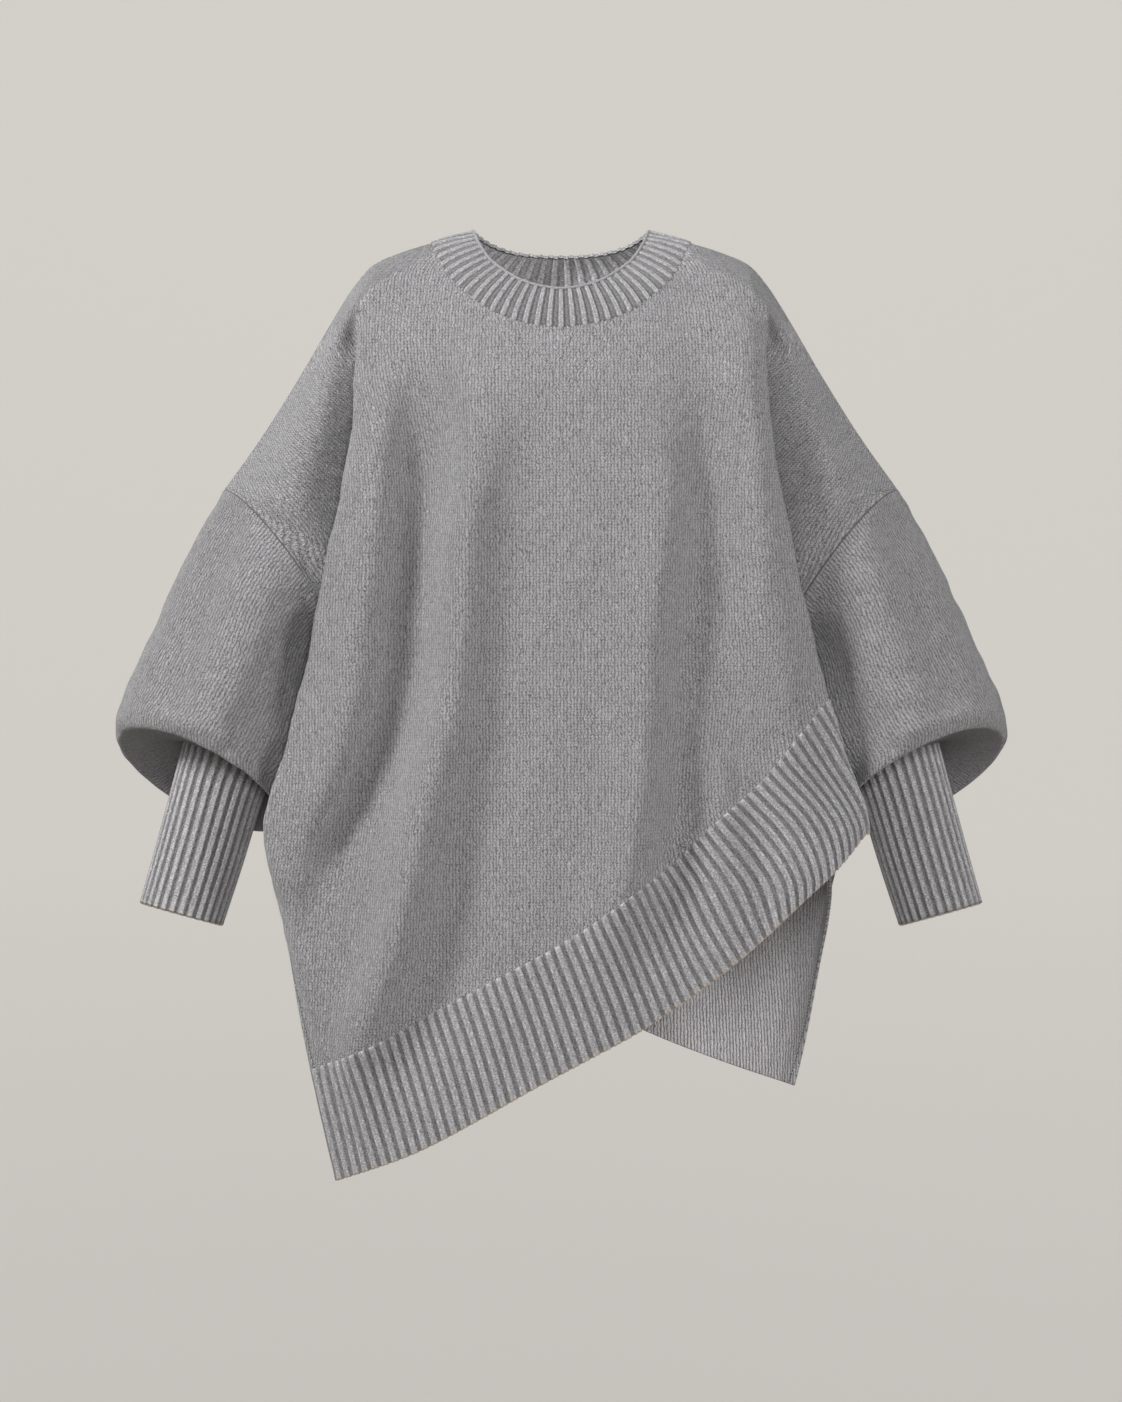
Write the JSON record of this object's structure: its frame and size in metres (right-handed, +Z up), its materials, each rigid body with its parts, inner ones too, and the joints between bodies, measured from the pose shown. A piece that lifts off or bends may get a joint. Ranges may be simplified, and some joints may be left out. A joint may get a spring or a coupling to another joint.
{
  "type": "poncho sweater",
  "caption": "Oversized knitted sweater with wide dropped shoulders, balloon sleeves, long ribbed cuffs, a ribbed crew neck and slanting hems that are open at the sides.",
  "frame": {"origin": "middle of the neck opening, at the height of the shoulder seams' inner ends, where a hanger or a wearer's neck would hold the sweater", "axes": "+Z up, front faces -Y, +X towards the sweater's left sleeve, which is at the viewer's right from the front"},
  "size_m": [0.8474, 0.2489, 0.8975],
  "materials": {
    "front_panel": "plain knit, brushed, mid-grey melange",
    "back_panel": "plain knit, brushed, mid-grey melange",
    "hem_rib": "one-by-one rib, mid-grey melange",
    "collar_rib": "one-by-one rib, mid-grey melange",
    "sleeve_left": "plain knit, brushed, mid-grey melange",
    "sleeve_right": "plain knit, brushed, mid-grey melange",
    "cuff_left": "rib knit, mid-grey melange",
    "cuff_right": "rib knit, mid-grey melange"
  },
  "bodies": {
    "root": {"front_panel": "front_panel", "back_panel": "back_panel", "hem_rib": "hem_rib", "collar_rib": "collar_rib", "sleeve_left": "sleeve_left", "sleeve_right": "sleeve_right", "cuff_left": "cuff_left", "cuff_right": "cuff_right"}
  },
  "joints": []
}
